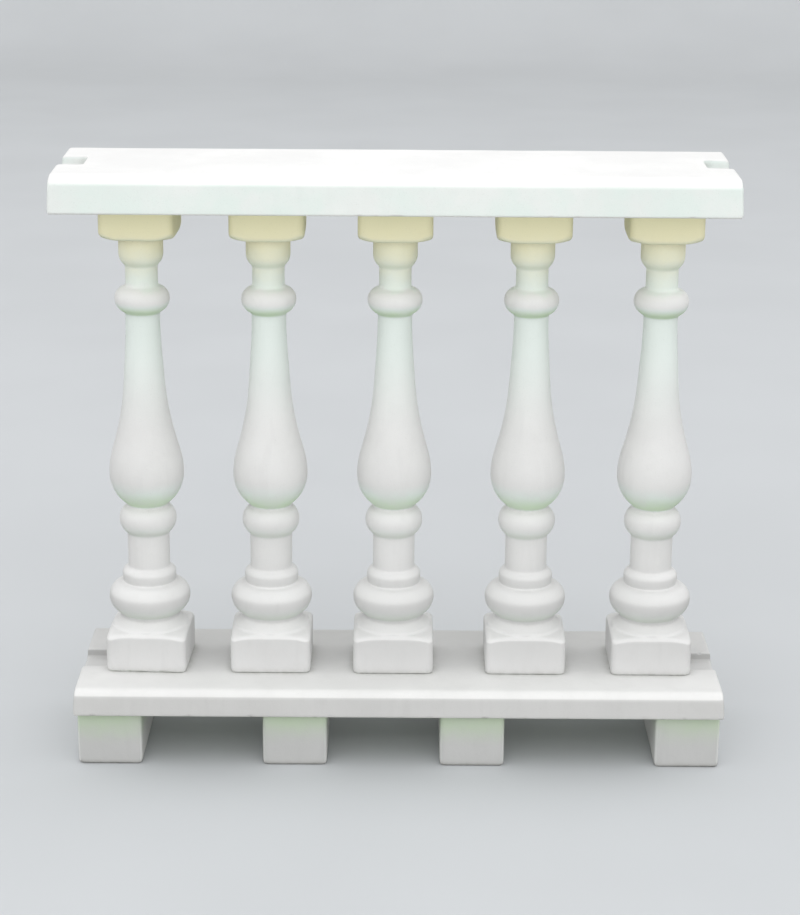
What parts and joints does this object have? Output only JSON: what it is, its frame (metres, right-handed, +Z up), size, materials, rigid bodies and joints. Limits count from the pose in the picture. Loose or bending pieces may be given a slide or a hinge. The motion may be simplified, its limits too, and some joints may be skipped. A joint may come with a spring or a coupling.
{
  "type": "stone balustrade",
  "caption": "Free-standing stone balustrade unit: turned vase balusters between a flat top rail and a base rail on low block feet.",
  "frame": {"origin": "on the floor, midway between the outermost rail ends and midway through the depth", "axes": "+X along the rails to the right as seen from the show face, +Y towards the back, +Z up"},
  "size_m": [1.0104, 0.274, 0.918],
  "materials": {
    "rail_stone": "fine white cast stone with a rubbed surface, softly weathered",
    "baluster_stone": "fine white cast stone with a rubbed surface and a faint cream and green tint in sheltered places",
    "foot_stone": "cast stone, greyer, with a faint green tint under the rail"
  },
  "bodies": {
    "root": {"top_rail": "rail_stone", "base_rail": "rail_stone", "baluster_1": "baluster_stone", "baluster_2": "baluster_stone", "baluster_3": "baluster_stone", "baluster_4": "baluster_stone", "baluster_5": "baluster_stone", "foot_1": "foot_stone", "foot_2": "foot_stone", "foot_3": "foot_stone", "foot_4": "foot_stone"}
  },
  "joints": []
}
